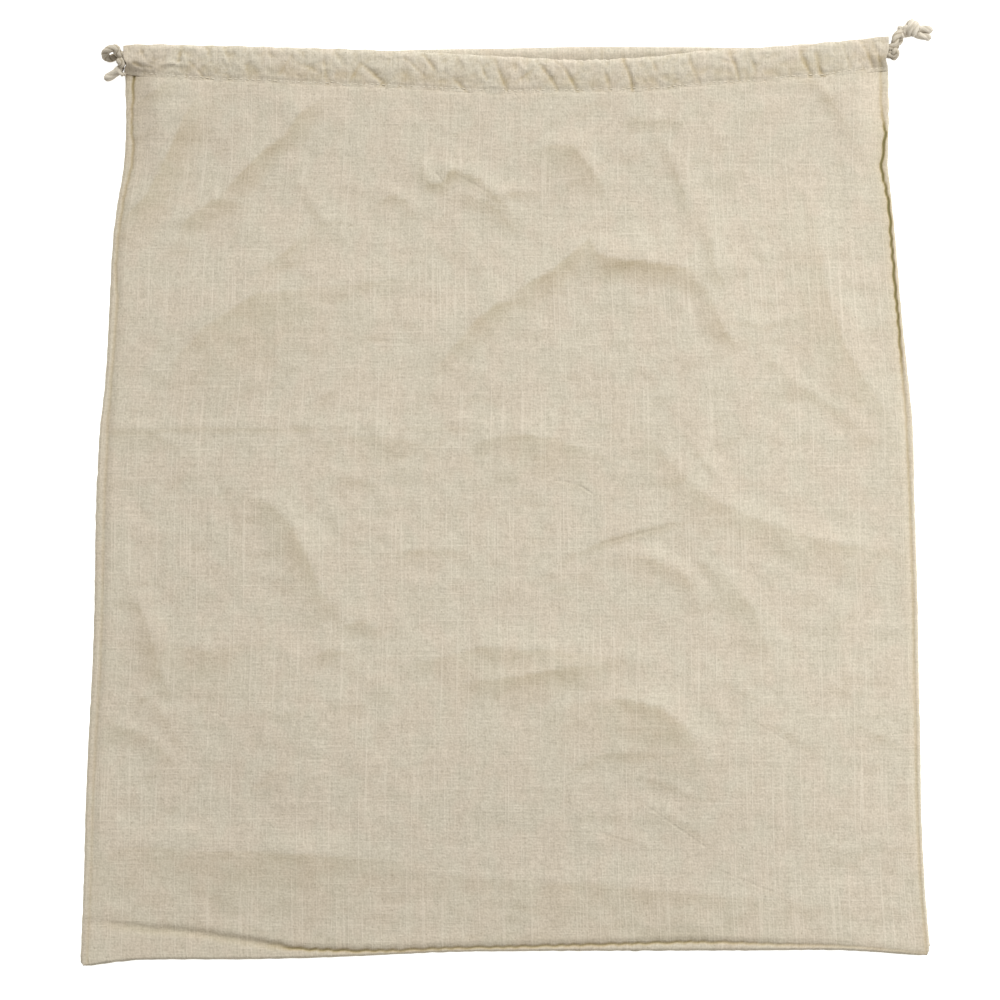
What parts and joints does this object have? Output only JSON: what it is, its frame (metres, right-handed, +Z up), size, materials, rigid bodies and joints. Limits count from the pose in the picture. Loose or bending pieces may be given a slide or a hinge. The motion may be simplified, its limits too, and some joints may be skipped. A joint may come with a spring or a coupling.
{
  "type": "drawstring bag",
  "caption": "Flat drawstring bag of slub cotton cloth, lying empty on its back, with seamed sides, a gathered casing at the mouth and two knotted drawstrings",
  "frame": {"origin": "The middle of the bag's length and width, on the underside of the back panel", "axes": "+X across the bag to the right as seen from above with the mouth away, +Y towards the mouth, +Z up from the surface the bag lies on"},
  "size_m": [0.5106, 0.5669, 0.0188],
  "materials": {
    "cloth": "unbleached slub cotton, plain weave",
    "seam": "rolled seam of the same cotton",
    "casing": "gathered hem of the same cotton",
    "cord": "twisted cotton cord"
  },
  "bodies": {
    "root": {"back_panel": "cloth", "front_panel": "cloth", "left_seam": "seam", "right_seam": "seam", "bottom_seam": "seam", "back_casing": "casing", "front_casing": "casing", "right_drawstring": "cord", "right_knot": "cord", "left_drawstring": "cord", "left_knot": "cord"}
  },
  "joints": []
}
